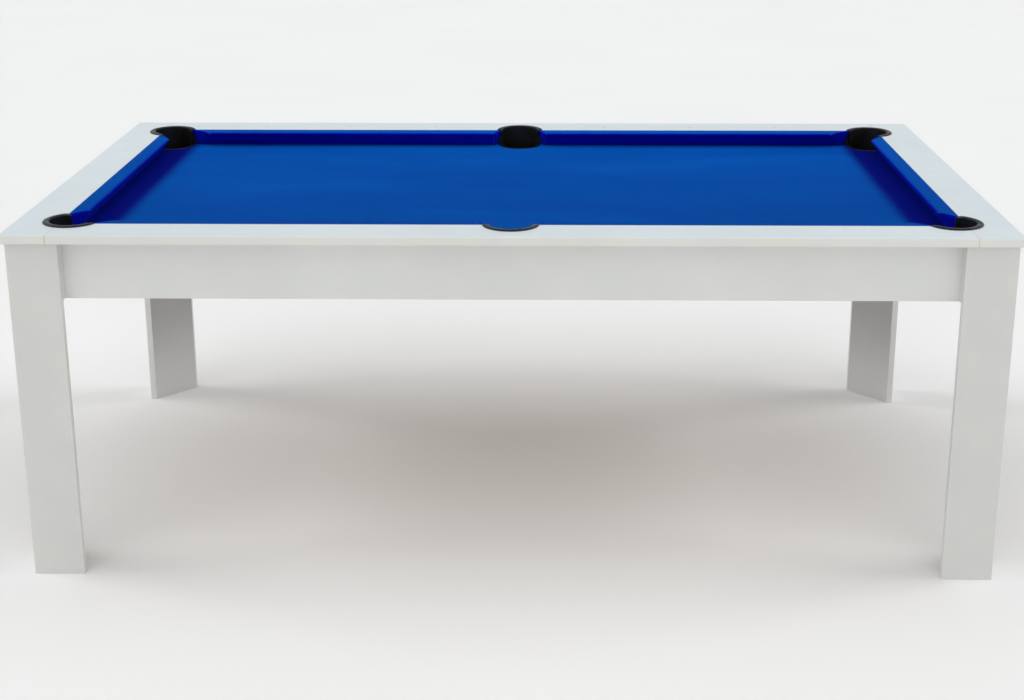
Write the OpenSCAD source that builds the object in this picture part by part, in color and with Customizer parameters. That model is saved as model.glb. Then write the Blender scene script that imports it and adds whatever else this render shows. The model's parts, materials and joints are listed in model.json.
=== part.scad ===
// Seven-foot pool table of dining height: laminated board cabinet on four hollow corner legs,
// six cushions, a cloth-covered bed, six drop pockets and a levelling foot inside each leg.
// Origin on the floor under the table's middle. X runs along the length, -Y is the front, Z is up.

/* [Table] */
// Overall length
table_l = 2130; // [2050:10:2250]
// Overall width
table_w = 1200; // [1150:10:1260]
// Height of the rail tops above the floor
table_h = 780; // [740:5:820]

/* [Rails] */
// Width of the rail boards, from the outer edge to the cloth
rail_w = 98; // [94:1:104]
// Thickness of the rail boards
rail_t = 20; // [18:1:25]
// Radius of the table top's vertical corners
top_corner_r = 9; // [3:1:12]
// Radius along the rail boards' outer edges
rail_edge_r = 3; // [1:0.5:4]
// Gap left at the joints between rail boards
rail_seam = 0.8; // [0.2:0.1:1]
// Radius of the round sights
sight_r = 4.8; // [3:0.2:6]
// Distance from the table's outer edge to the middle of a sight
sight_inset = 58; // [50:1:60]

/* [Cushions] */
// How far the cushion nose stands out from the rail board
cushion_d = 36; // [32:1:42]
// Height of the nose above the cloth
nose_h = 35.6; // [34:0.2:38]
// Radius of the nose
nose_r = 2; // [1:0.5:4]
// How far the foot of the cushion sits behind its nose
cushion_undercut = 23; // [16:1:28]
// Mouth of a corner pocket, between noses
corner_mouth = 118; // [112:1:124]
// Mouth of a side pocket, between noses
side_mouth = 131; // [124:1:138]
// Lean of the cushion ends, away from the pocket at the foot
facing_lean = 12; // [5:1:15]

/* [Pockets] */
// Outer radius of a pocket's rim
rim_r = 61; // [59:0.5:64]
// Radius of the throat that the ball falls through
throat_r = 47.5; // [45:0.5:49]
// Wall of the pocket moulding
pocket_wall = 2.5; // [2:0.1:3]
// Height of the rim above the rail
rim_h = 3.5; // [2:0.5:5]
// Clear margin from a corner pocket's rim to the table's outer edges
corner_margin = 61; // [59:1:64]
// Clear margin from a side pocket's rim to the table's outer edge
side_margin = 42; // [41:1:46]
// How far a pocket's wall runs in past the rail board
wall_overrun = 10; // [6:1:14]
// How far the tips of a pocket's rim run in past the rail board
rim_overrun = 4; // [1:1:8]
// Radius of the collar that the cloth ends against
collar_r = 55; // [53:0.5:57]

/* [Bed] */
// Distance from the rail top down to the cloth
bed_drop = 39; // [37:1:42]
// Thickness of the bed board
bed_t = 18; // [15:1:21]
// Thickness of the cloth
cloth_t = 1; // [0.8:0.1:1.5]

/* [Cabinet] */
// Height of the aprons
apron_h = 130; // [128:1:150]
// Thickness of the aprons
apron_t = 15; // [14:1:18]
// Width and height of the ledges that carry the bed
ledge = 25; // [22:1:28]
// Thickness of the cross beams
beam_t = 18; // [15:1:25]
// Depth of the cross beams
beam_h = 82; // [60:1:84]
// Distance of the cross beams from the middle of the table
beam_x = [230, 690];

/* [Legs] */
// Width of a leg's outer faces
leg_w = 110; // [104:1:120]
// Thickness of the leg boards
leg_t = 16; // [15:1:18]
// How far the rails overhang the legs
overhang = 10; // [6:1:14]
// Thickness of the packers between a leg and the aprons
packer_t = 18; // [15:1:20]
// Thickness of the inner panel across a leg
inner_panel_t = 12; // [9:1:16]
// Radius along the edges of legs and aprons
board_edge_r = 1.5; // [1:0.5:3]

/* [Levelling feet] */
// Radius of the foot pad
pad_r = 18; // [14:0.5:19]
// Height of the foot pad
pad_h = 8; // [6:0.5:10]
// Radius of the M8 stud
stud_r = 4; // [3:0.5:5]
// Length of the stud
stud_l = 62; // [52:1:80]
// Thickness of the block that holds the insert nut
plug_h = 30; // [24:1:40]

/* [Hidden] */
$fn = 64;
eps = 0.02;
body_gap = 0.3;
running_gap = 0.05;
rail_colour = "#d8e0e3";
board_colour = "#ccccc6";
core_colour = "#a98f6c";
cloth_colour = "#0a56a6";
pocket_colour = "#1d1e20";
steel_colour = "#a6a8aa";
brass_colour = "#b9964f";
sight_colour = "#f2f3f1";

// Half sizes and levels of the table top
half_l = table_l / 2;
half_w = table_w / 2;
rail_bottom = table_h - rail_t;
cloth_x = half_l - rail_w;
cloth_y = half_w - rail_w;
nose_x = cloth_x - cushion_d;
nose_y = cloth_y - cushion_d;
cloth_top = table_h - bed_drop;
bed_top = cloth_top - cloth_t;
bed_bottom = bed_top - bed_t;
nose_z = cloth_top + nose_h;

// Legs stand in from the rail edge, and aprons stand in from the leg faces
leg_x = half_l - overhang;
leg_y = half_w - overhang;
apron_x = leg_x - leg_t - packer_t;
apron_y = leg_y - leg_t - packer_t;
inner_x = apron_x - apron_t;
inner_y = apron_y - apron_t;
apron_bottom = rail_bottom - apron_h;
bed_clear = 0.5;

// Pocket centres in the +X +Y quarter
corner_c = [half_l - corner_margin - rim_r, half_w - corner_margin - rim_r];
side_c = [0, half_w - side_margin - rim_r];
shell_r = throat_r + pocket_wall;
shell_cut_r = shell_r + body_gap;
cut_r = collar_r + body_gap;
collar_t = 4;
cup_bottom = apron_bottom + 6;
cup_floor_t = 3;
tab_w = 16;
tab_reach = 24;
tab_t = 4;
tab_spread = 35;
cheek_t = 3;
cheek_reach = 10;
rim_inset = 2;
rim_edge_h = 0.6;
rim_fullness = 0.7;
rim_taper = 18;
dome_steps = 12;
tuck_d = 0.6;

// Ends of the cushions, at nose height and at the rail
corner_setback = corner_mouth / sqrt(2);
corner_dip = cloth_x - corner_c[0];
corner_back = corner_dip + sqrt(pow(shell_cut_r, 2) - pow(corner_dip, 2));
side_back = sqrt(pow(shell_cut_r, 2) - pow(cloth_y - side_c[1], 2));

// Fasteners
bolt_r = 3;
bolt_head_r = 6;
bolt_head_h = 5;
bolt_flange_r = 8.5;
bolt_flange_t = 1.5;
bolt_clear_r = 3.3;
bolt_cover = 4;
leg_bolt_in = 90;
leg_bolt_z = [apron_bottom + 20, apron_bottom + 54];
rail_bolt_x = [110, 460, 850];
rail_bolt_y = [110, 330];
rail_bolt_top = rail_bottom + 12;
screw_r = 1.9;
screw_head_r = 3.8;
screw_head_h = 2.5;
screw_l = 11;
bracket_w = 30;
bracket_h = 40;
bracket_t = 2.5;
bracket_z = apron_bottom + 14;
dowel_r = 4;
dowel_l = 40;
dowel_y = [half_w - 14, half_w - 38];
dowel_z = rail_bottom + rail_t / 2;
sight_t = 3;
sight_pitch_x = nose_x / 4;
sight_pitch_y = nose_y / 2;

// Levelling foot: pad on the floor, hex collar above it, block and insert nut in the leg
stud_end_z = 3;
hex_h = 5;
hex_r = 7.5;
socket_r = stud_r + running_gap;
plug_z = pad_h + hex_h + 3 * body_gap;
insert_r = 6;
panel_in = leg_w - inner_panel_t * sqrt(2);
leg_hollow = panel_in - leg_t;
foot_in = leg_t + leg_hollow * (1 - 1 / sqrt(2));
foot_x = leg_x - foot_in;
foot_y = leg_y - foot_in;

// ---- Helpers ----

// Points of an arc from angle a0 to a1
function arc(cx, cy, r, a0, a1, n = 4) = [
    for (i = [0:n]) [cx + r * cos(a0 + (a1 - a0) * i / n), cy + r * sin(a0 + (a1 - a0) * i / n)]
];

// Outline of a rectangle with rounded corners
function round_rect(x0, y0, x1, y1, r) = concat(
    arc(x1 - r, y1 - r, r, 0, 90),
    arc(x0 + r, y1 - r, r, 90, 180),
    arc(x0 + r, y0 + r, r, 180, 270),
    arc(x1 - r, y0 + r, r, 270, 360)
);

// Puts a shape made in the +X +Y quarter into the quarter with signs sx, sy
module quarter(sx, sy) {
    mirror([sx < 0 ? 1 : 0, 0, 0]) mirror([0, sy < 0 ? 1 : 0, 0]) children();
}

module all_quarters() {
    for (sx = [-1, 1], sy = [-1, 1]) quarter(sx, sy) children();
}

// Extrudes an outline given in (Y, Z) along X, centred
module along_x(points, length) {
    rotate([90, 0, 90]) linear_extrude(height = length, center = true) polygon(points);
}

// Extrudes an outline given in (X, Z) along Y, centred
module along_y(points, length) {
    rotate([90, 0, 0]) linear_extrude(height = length, center = true) polygon(points);
}

module box(x0, y0, z0, x1, y1, z1) {
    translate([x0, y0, z0]) cube([x1 - x0, y1 - y0, z1 - z0]);
}

module post(x, y, z0, z1, r) {
    translate([x, y, z0]) cylinder(h = z1 - z0, r = r);
}

// A cylinder from point p along +X or +Y
module rod_x(p, length, r) {
    translate(p) rotate([0, 90, 0]) cylinder(h = length, r = r);
}

module rod_y(p, length, r) {
    translate(p) rotate([-90, 0, 0]) cylinder(h = length, r = r);
}

// Upright cuts of radius r round all six pockets
module pocket_cuts(r, z0, z1) {
    all_quarters() post(corner_c[0], corner_c[1], z0, z1, r);
    for (s = [-1, 1]) post(0, s * side_c[1], z0, z1, r);
}

// ---- Rails ----

// The whole table top as one rounded slab
module top_slab() {
    intersection() {
        translate([0, 0, rail_bottom]) linear_extrude(height = rail_t)
            polygon(round_rect(-half_l, -half_w, half_l, half_w, top_corner_r));
        along_x(round_rect(-half_w, rail_bottom, half_w, table_h, rail_edge_r), table_l);
        along_y(round_rect(-half_l, rail_bottom, half_l, table_h, rail_edge_r), table_w);
    }
}

module sight_spots(r, z0, z1) {
    for (sy = [-1, 1], i = [1:3], sx = [-1, 1]) {
        post(sx * i * sight_pitch_x, sy * (half_w - sight_inset), z0, z1, r);
    }
    for (sx = [-1, 1], i = [-1:1]) {
        post(sx * (half_l - sight_inset), i * sight_pitch_y, z0, z1, r);
    }
}

module dowel_rods(r) {
    for (sx = [-1, 1], sy = [-1, 1], y = dowel_y) {
        rod_x([sx * cloth_x - dowel_l / 2, sy * y, dowel_z], dowel_l, r);
    }
}

// Bolts that clamp ledge, bed and subrail to the rails, as plain rods
module rail_bolt_rods(r, z0, z1) {
    all_quarters() {
        for (x = rail_bolt_x) post(x, inner_y - ledge / 2, z0, z1, r);
        for (y = rail_bolt_y) post(inner_x - ledge / 2, y, z0, z1, r);
    }
}

module rail_cuts() {
    pocket_cuts(cut_r, rail_bottom - 1, table_h + 1);
    sight_spots(sight_r + eps, table_h - sight_t, table_h + 1);
    dowel_rods(dowel_r + eps);
    rail_bolt_rods(bolt_r + eps, rail_bottom - 1, rail_bolt_top);
}

module end_rail(s) {
    x0 = s > 0 ? cloth_x : -half_l - 1;
    color(rail_colour) difference() {
        intersection() {
            top_slab();
            box(x0, -half_w - 1, rail_bottom - 1, x0 + rail_w + 1, half_w + 1, table_h + 1);
        }
        rail_cuts();
    }
}

module long_rail(s) {
    y0 = s > 0 ? cloth_y : -half_w - 1;
    x0 = cloth_x - rail_seam;
    color(rail_colour) difference() {
        intersection() {
            top_slab();
            box(-x0, y0, rail_bottom - 1, x0, y0 + rail_w + 1, table_h + 1);
        }
        rail_cuts();
    }
}

module rail_sights() {
    color(sight_colour) sight_spots(sight_r, table_h - sight_t, table_h);
}

module rail_dowels() {
    color(core_colour) dowel_rods(dowel_r);
}

// ---- Cushions and the wooden strips behind them ----

// Cushion section: x is the distance from the nose line towards the rail, y is the height
function cushion_section() = concat(
    [[cushion_d, cloth_top + bed_clear], [cushion_d, table_h - tuck_d]],
    arc(nose_r, nose_z, nose_r, 92, 212, 6),
    [[cushion_undercut, cloth_top + bed_clear]]
);

// Cuts a cushion end along the line p to q; side is 1 or -1 for the pocket's side of that line
module facing_cut(p, q, side) {
    reach = 120;
    turn = atan2(q[1] - p[1], q[0] - p[0]);
    translate([p[0], p[1], nose_z]) rotate([-side * facing_lean, 0, turn])
        box(-reach, side > 0 ? 0 : -reach, -reach, reach, side > 0 ? reach : 0, reach);
}

// The pocket's side of each cushion end: a long cushion at its corner and side pockets, and an
// end cushion
module long_corner_facing() {
    facing_cut([nose_x - corner_setback, nose_y], [cloth_x - corner_back, cloth_y], -1);
}

module long_side_facing() {
    facing_cut([side_mouth / 2, nose_y], [side_back, cloth_y], 1);
}

module end_facing() {
    facing_cut([nose_x, nose_y - corner_setback], [cloth_x, cloth_y - corner_back], 1);
}

module long_cushion() {
    color(cloth_colour) difference() {
        translate([nose_x / 2, nose_y, 0]) along_x(cushion_section(), nose_x);
        long_corner_facing();
        long_side_facing();
    }
}

module end_cushion() {
    color(cloth_colour) difference() {
        translate([nose_x, 0, 0]) along_y(cushion_section(), 2 * nose_y);
        end_facing();
        mirror([0, 1, 0]) end_facing();
    }
}

module subrail_cuts() {
    pocket_cuts(cut_r, cloth_top - 1, rail_bottom + 1);
    rail_bolt_rods(bolt_clear_r, cloth_top - 1, rail_bottom + 1);
}

module end_subrail() {
    color(core_colour) difference() {
        box(cloth_x, -inner_y + bed_clear, cloth_top, inner_x - bed_clear, inner_y - bed_clear, rail_bottom);
        subrail_cuts();
    }
}

module long_subrail() {
    color(core_colour) difference() {
        box(-cloth_x, cloth_y, cloth_top, cloth_x, inner_y - bed_clear, rail_bottom);
        subrail_cuts();
    }
}

// ---- Bed ----

module bed_board() {
    x = inner_x - bed_clear;
    y = inner_y - bed_clear;
    color(core_colour) difference() {
        box(-x, -y, bed_bottom, x, y, bed_top);
        pocket_cuts(cut_r, bed_bottom - 1, bed_top + 1);
        rail_bolt_rods(bolt_clear_r, bed_bottom - 1, bed_top + 1);
        pocket_screw_rods(screw_r + eps, bed_bottom - tab_t, screw_l + 1);
    }
}

module bed_cloth() {
    x = inner_x - bed_clear;
    y = inner_y - bed_clear;
    color(cloth_colour) difference() {
        box(-x, -y, bed_top, x, y, cloth_top);
        pocket_cuts(cut_r, bed_top - 1, cloth_top + 1);
        rail_bolt_rods(bolt_clear_r, bed_top - 1, cloth_top + 1);
    }
}

// ---- Pockets ----

// Domed rim section, x is the radius and y the height
function rim_section() = concat(
    [[throat_r, table_h - rim_inset]],
    [for (i = [0:dome_steps]) let (a = i * 180 / dome_steps) [
        (throat_r + rim_r) / 2 - (rim_r - throat_r) / 2 * cos(a),
        table_h + rim_edge_h + (rim_h - rim_edge_h) * pow(abs(sin(a)), rim_fullness)
    ]],
    [[rim_r, table_h], [shell_r, table_h], [shell_r, table_h - rim_inset]]
);

// Angles from the pocket's centre to its screw tabs, about the direction "inward"
function tab_angles(inward) = [inward - tab_spread, inward + tab_spread];

// Region past the line y = y0 whose top rises from the tips of a rim to its full height
module rim_region(y0) {
    top = table_h + rim_h + 1;
    along_x([[y0, 0], [2 * rim_r, 0], [2 * rim_r, top], [y0 + rim_taper, top], [y0, table_h + rim_edge_h]],
        4 * rim_r);
}

// One pocket, centred on the Z axis; inward points to the table's middle. The children are the
// regions where its wall and its rim stand above the cloth.
module pocket_moulding(inward) {
    color(pocket_colour) {
        difference() {
            union() {
                post(0, 0, cup_bottom, cloth_top, shell_r);
                post(0, 0, cloth_top - collar_t, cloth_top, collar_r);
                for (a = tab_angles(inward)) {
                    rotate([0, 0, a]) box(throat_r, -tab_w / 2, bed_bottom - tab_t,
                        shell_r + tab_reach, tab_w / 2, bed_bottom);
                }
                intersection() {
                    post(0, 0, cloth_top - 1, table_h, shell_r);
                    children(0);
                }
                intersection() {
                    rotate_extrude() polygon(rim_section());
                    children(1);
                }
            }
            post(0, 0, cup_bottom + cup_floor_t, table_h + rim_h + 1, throat_r);
            for (a = tab_angles(inward)) {
                rotate([0, 0, a])
                    post(shell_r + tab_reach / 2, 0, bed_bottom - tab_t - 1, bed_bottom + eps, screw_r + eps);
            }
        }
    }
}

// Cheek plates that close a pocket's wall against the leaning cushion ends, as a pocket at c
// sees them. The children are the pocket's side of those ends.
module long_cheek(c, x0, x1) {
    cheek(c) {
        box(x0, cloth_y - cheek_t, cloth_top, x1, cloth_y, rail_bottom + rail_t / 2);
        children();
    }
}

module cheek(c) {
    color(pocket_colour) difference() {
        intersection() {
            children(0);
            children(1);
        }
        post(c[0], c[1], cloth_top - 1, table_h, shell_r - eps);
    }
}

// The quarter's corner pocket: the moulding rises where either rail is
module corner_pocket() {
    edge_x = cloth_x - corner_c[0];
    edge_y = cloth_y - corner_c[1];
    far = 2 * rim_r;
    translate([corner_c[0], corner_c[1], 0]) pocket_moulding(225) {
        union() {
            box(edge_x - wall_overrun, -far, 0, far, far, table_h);
            box(-far, edge_y - wall_overrun, 0, far, far, table_h);
        }
        union() {
            rotate([0, 0, -90]) rim_region(edge_x - rim_overrun);
            rim_region(edge_y - rim_overrun);
        }
    }
    long_cheek(corner_c, corner_c[0] - rim_r - cheek_reach, corner_c[0]) translate([body_gap, 0, 0])
        long_corner_facing();
    cheek(corner_c) {
        box(cloth_x - cheek_t, corner_c[1] - rim_r - cheek_reach, cloth_top, cloth_x, corner_c[1],
            rail_bottom + rail_t / 2);
        translate([0, body_gap, 0]) end_facing();
    }
}

// The side pocket at +Y: its collar is trimmed to fit inside the apron
module side_pocket() {
    for (s = [-1, 1]) quarter(s, 1) {
        long_cheek(side_c, 0, rim_r + cheek_reach) translate([-body_gap, 0, 0]) long_side_facing();
    }
    edge_y = cloth_y - side_c[1];
    far = 2 * rim_r;
    trim_y = inner_y - bed_clear;
    difference() {
        translate([0, side_c[1], 0]) pocket_moulding(270) {
            box(-far, edge_y - wall_overrun, 0, far, far, table_h);
            rim_region(edge_y - rim_overrun);
        }
        color(pocket_colour) difference() {
            box(-far, trim_y, cloth_top - collar_t - 1, far, trim_y + far, cloth_top + eps);
            post(0, side_c[1], cloth_top - collar_t - 2, cloth_top + 1, shell_r);
        }
    }
}

// Pocket screws as rods from height z0
module pocket_screw_rods(r, z0, length) {
    reach = shell_r + tab_reach / 2;
    all_quarters() {
        for (a = tab_angles(225)) {
            post(corner_c[0] + reach * cos(a), corner_c[1] + reach * sin(a), z0, z0 + length, r);
        }
    }
    for (s = [-1, 1], a = tab_angles(270)) {
        post(reach * cos(a), s * (side_c[1] + reach * sin(a)), z0, z0 + length, r);
    }
}

module pocket_screws() {
    tab_bottom = bed_bottom - tab_t;
    color(steel_colour) {
        pocket_screw_rods(screw_r, tab_bottom, screw_l);
        pocket_screw_rods(screw_head_r, tab_bottom - screw_head_h, screw_head_h);
    }
}

// ---- Cabinet ----

// Leg bolts as rods that start d inside the aprons' inner faces
module leg_bolt_rods(r, d, length) {
    all_quarters() {
        for (z = leg_bolt_z) {
            rod_y([leg_x - leg_bolt_in, inner_y - d, z], length, r);
            rod_x([inner_x - d, leg_y - leg_bolt_in, z], length, r);
        }
    }
}

module apron_cuts() {
    for (s = [-1, 1]) post(0, s * side_c[1], apron_bottom - 1, rail_bottom + 1, shell_cut_r);
    leg_bolt_rods(bolt_clear_r, 1, apron_t + 2);
    bracket_screw_rods(screw_r + eps, 0, screw_l);
}

module long_apron(s) {
    y = s * (apron_y - apron_t / 2);
    color(board_colour) difference() {
        along_x(
            round_rect(y - apron_t / 2, apron_bottom, y + apron_t / 2, rail_bottom, board_edge_r),
            2 * apron_x
        );
        apron_cuts();
    }
}

module end_apron(s) {
    x = s * (apron_x - apron_t / 2);
    color(board_colour) difference() {
        along_y(
            round_rect(x - apron_t / 2, apron_bottom, x + apron_t / 2, rail_bottom, board_edge_r),
            2 * inner_y
        );
        apron_cuts();
    }
}

module bed_ledges() {
    z0 = bed_bottom - ledge;
    color(core_colour) difference() {
        box(-inner_x, -inner_y, z0, inner_x, inner_y, bed_bottom);
        box(ledge - inner_x, ledge - inner_y, z0 - 1, inner_x - ledge, inner_y - ledge, bed_bottom + 1);
        pocket_cuts(cut_r, z0 - 1, bed_bottom + 1);
        rail_bolt_rods(bolt_clear_r, z0 - 1, bed_bottom + 1);
        for (x = beam_x, s = [-1, 1]) {
            box(s * x - beam_t / 2, -half_w, z0 - 1, s * x + beam_t / 2, half_w, bed_bottom + 1);
        }
    }
}

module cross_beams() {
    y = inner_y - bed_clear;
    color(core_colour) difference() {
        for (x = beam_x, s = [-1, 1]) {
            box(s * x - beam_t / 2, -y, bed_bottom - beam_h, s * x + beam_t / 2, y, bed_bottom);
        }
        bracket_screw_rods(screw_r + eps, 0, screw_l);
    }
}

// Bracket corners in the +X +Y quarter: x, and the way its long-apron leg points
function bracket_spots() = concat(
    [[inner_x, -1]],
    [for (x = beam_x) [x + beam_t / 2, 1]]
);

module angle_brackets() {
    color(steel_colour) difference() {
        all_quarters() {
            for (b = bracket_spots()) {
                translate([b[0], inner_y, bracket_z]) mirror([b[1] < 0 ? 1 : 0, 0, 0]) {
                    translate([0, -bracket_t, 0]) cube([bracket_w, bracket_t, bracket_h]);
                    translate([0, -bracket_w, 0]) cube([bracket_t, bracket_w, bracket_h]);
                }
            }
        }
        bracket_screw_rods(screw_r + eps, bracket_t + 1, screw_l);
    }
}

// Bracket screws as rods that start d short of the wood and run into it
module bracket_screw_rods(r, d, length) {
    z = bracket_z + bracket_h / 2;
    out = bracket_w * 0.6;
    all_quarters() {
        for (b = bracket_spots()) {
            rod_y([b[0] + b[1] * out, inner_y - d, z], length, r);
            start = b[1] < 0 ? b[0] - d : b[0] + d - length;
            rod_x([start, inner_y - out, z], length, r);
        }
    }
}

module bracket_screws() {
    color(steel_colour) {
        bracket_screw_rods(screw_r, bracket_t, screw_l);
        bracket_screw_rods(screw_head_r, bracket_t + screw_head_h, screw_head_h);
    }
}

module rail_bolts() {
    head_z = bed_bottom - ledge;
    color(steel_colour) {
        rail_bolt_rods(bolt_r, head_z - eps, rail_bolt_top);
        rail_bolt_rods(bolt_flange_r, head_z - bolt_flange_t, head_z);
        rail_bolt_rods(bolt_head_r, head_z - bolt_flange_t - bolt_head_h, head_z - bolt_flange_t);
    }
}

// ---- Legs ----

// Mitred outline of the board on a leg's front face, from the leg's outer corner
function leg_board_outline() = concat(
    arc(board_edge_r, board_edge_r, board_edge_r, 225, 270, 2),
    arc(leg_w - board_edge_r, board_edge_r, board_edge_r, 270, 360),
    [[leg_w, leg_t], [leg_t, leg_t]]
);

// Turns coordinates measured in from the leg's outer corner into the +X +Y quarter's own
module from_leg_corner() {
    translate([leg_x, leg_y, 0]) rotate([0, 0, 180]) children();
}

module leg_face(sx, sy) {
    color(board_colour) quarter(sx, sy) difference() {
        from_leg_corner() linear_extrude(height = rail_bottom) polygon(leg_board_outline());
        leg_bolt_holes();
    }
}

module leg_side(sx, sy) {
    color(board_colour) quarter(sx, sy) difference() {
        from_leg_corner() mirror([1, -1, 0]) linear_extrude(height = rail_bottom)
            polygon(leg_board_outline());
        leg_bolt_holes();
    }
}

// Blind holes that the leg bolts screw into
module leg_bolt_holes() {
    depth = apron_t + packer_t + leg_t - bolt_cover;
    leg_bolt_rods(bolt_r + eps, 0, depth + eps);
}

module leg_inner_panel(sx, sy) {
    color(board_colour) quarter(sx, sy) from_leg_corner() linear_extrude(height = apron_bottom)
        polygon([[leg_w, leg_t], [leg_t, leg_w], [leg_t, panel_in], [panel_in, leg_t]]);
}

module leg_packers() {
    z0 = apron_bottom + 2;
    z1 = rail_bottom - 2;
    deep = leg_t + packer_t;
    color(board_colour) difference() {
        all_quarters() from_leg_corner() {
            box(leg_t, leg_t, z0, leg_w, deep, z1);
            box(leg_t, deep + body_gap, z0, deep, leg_w, z1);
        }
        leg_bolt_rods(bolt_clear_r, 0, apron_t + packer_t + 1);
    }
}

module leg_bolts() {
    grip = apron_t + packer_t + leg_t - bolt_cover;
    color(steel_colour) {
        leg_bolt_rods(bolt_r, eps, grip);
        leg_bolt_rods(bolt_flange_r, bolt_flange_t, bolt_flange_t);
        leg_bolt_rods(bolt_head_r, bolt_flange_t + bolt_head_h, bolt_head_h);
    }
}

module leg_plugs() {
    z1 = plug_z + plug_h;
    color(core_colour) difference() {
        all_quarters() from_leg_corner() translate([0, 0, plug_z]) linear_extrude(height = plug_h)
            polygon([[leg_t, leg_t], [panel_in, leg_t], [leg_t, panel_in]]);
        all_quarters() post(foot_x, foot_y, plug_z - 1, z1 + 1, insert_r + eps);
    }
}

module foot_inserts() {
    color(brass_colour) all_quarters() difference() {
        post(foot_x, foot_y, plug_z, plug_z + plug_h, insert_r);
        post(foot_x, foot_y, plug_z - 1, plug_z + plug_h + 1, stud_r + running_gap);
    }
}

// ---- Levelling feet ----

module foot_pad(sx, sy) {
    color(pocket_colour) translate([sx * foot_x, sy * foot_y, 0]) difference() {
        rotate_extrude() polygon(concat(
            [[0, 0]],
            arc(pad_r - 1, 1, 1, 270, 360, 3),
            arc(pad_r - 3, pad_h - 3, 3, 0, 90, 3),
            [[0, pad_h]]
        ));
        translate([0, 0, stud_end_z]) cylinder(h = pad_h, r = socket_r);
    }
}

module foot_stud(sx, sy) {
    color(steel_colour) translate([sx * foot_x, sy * foot_y, 0]) {
        post(0, 0, stud_end_z + body_gap, stud_end_z + body_gap + stud_l, stud_r);
        translate([0, 0, pad_h + body_gap]) cylinder(h = hex_h, r = hex_r, $fn = 6);
    }
}

end_rail(-1);  // left_end_rail
end_rail(1);  // right_end_rail
long_rail(-1);  // front_rail
long_rail(1);  // back_rail
rail_sights();
rail_dowels();
quarter(-1, 1) end_cushion();  // cushion_left
end_cushion();  // cushion_right
quarter(-1, -1) long_cushion();  // cushion_front_left
quarter(1, -1) long_cushion();  // cushion_front_right
quarter(-1, 1) long_cushion();  // cushion_back_left
long_cushion();  // cushion_back_right
quarter(-1, 1) end_subrail();  // subrail_left
end_subrail();  // subrail_right
quarter(1, -1) long_subrail();  // subrail_front
long_subrail();  // subrail_back
bed_board();
bed_cloth();
quarter(-1, -1) corner_pocket();  // pocket_front_left
quarter(1, -1) corner_pocket();  // pocket_front_right
quarter(-1, 1) corner_pocket();  // pocket_back_left
corner_pocket();  // pocket_back_right
quarter(1, -1) side_pocket();  // pocket_side_front
side_pocket();  // pocket_side_back
pocket_screws();
long_apron(-1);  // apron_front
long_apron(1);  // apron_back
end_apron(-1);  // apron_left
end_apron(1);  // apron_right
bed_ledges();
cross_beams();
angle_brackets();
bracket_screws();
rail_bolts();
leg_face(-1, -1);  // front_left_leg_face
leg_side(-1, -1);  // front_left_leg_side
leg_inner_panel(-1, -1);  // front_left_leg_inner_panel
leg_face(1, -1);  // front_right_leg_face
leg_side(1, -1);  // front_right_leg_side
leg_inner_panel(1, -1);  // front_right_leg_inner_panel
leg_face(-1, 1);  // back_left_leg_face
leg_side(-1, 1);  // back_left_leg_side
leg_inner_panel(-1, 1);  // back_left_leg_inner_panel
leg_face(1, 1);  // back_right_leg_face
leg_side(1, 1);  // back_right_leg_side
leg_inner_panel(1, 1);  // back_right_leg_inner_panel
leg_packers();
leg_bolts();
leg_plugs();
foot_inserts();
foot_pad(-1, -1);  // front_left_foot_pad
foot_pad(1, -1);  // front_right_foot_pad
foot_pad(-1, 1);  // back_left_foot_pad
foot_pad(1, 1);  // back_right_foot_pad
foot_stud(-1, -1);  // front_left_foot_stud
foot_stud(1, -1);  // front_right_foot_stud
foot_stud(-1, 1);  // back_left_foot_stud
foot_stud(1, 1);  // back_right_foot_stud
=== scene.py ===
"""Looks of a seven-foot pool table with white laminated boards, blue cloth and black drop pockets.

Metres throughout, in the CAD model's frame: X along the table, -Y is the front, Z up from the floor.
"""
import json
import math

import bmesh
import bpy
from mathutils import Matrix, Vector, geometry, noise


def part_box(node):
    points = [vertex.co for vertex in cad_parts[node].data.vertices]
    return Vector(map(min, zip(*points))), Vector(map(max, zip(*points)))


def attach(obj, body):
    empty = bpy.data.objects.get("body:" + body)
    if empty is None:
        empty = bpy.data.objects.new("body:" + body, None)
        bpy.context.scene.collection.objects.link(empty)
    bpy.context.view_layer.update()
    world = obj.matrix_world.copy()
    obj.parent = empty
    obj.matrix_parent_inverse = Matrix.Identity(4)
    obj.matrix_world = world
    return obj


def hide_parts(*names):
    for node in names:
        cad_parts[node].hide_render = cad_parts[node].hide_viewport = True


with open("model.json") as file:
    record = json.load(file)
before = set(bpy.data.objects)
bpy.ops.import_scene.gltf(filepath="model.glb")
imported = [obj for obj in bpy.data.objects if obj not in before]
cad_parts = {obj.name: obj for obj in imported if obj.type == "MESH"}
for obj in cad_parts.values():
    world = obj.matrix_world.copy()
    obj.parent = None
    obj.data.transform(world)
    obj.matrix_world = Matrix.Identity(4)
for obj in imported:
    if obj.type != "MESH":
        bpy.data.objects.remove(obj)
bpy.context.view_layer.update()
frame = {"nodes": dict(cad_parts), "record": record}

# ---- Sizes taken from the frame ----

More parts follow.
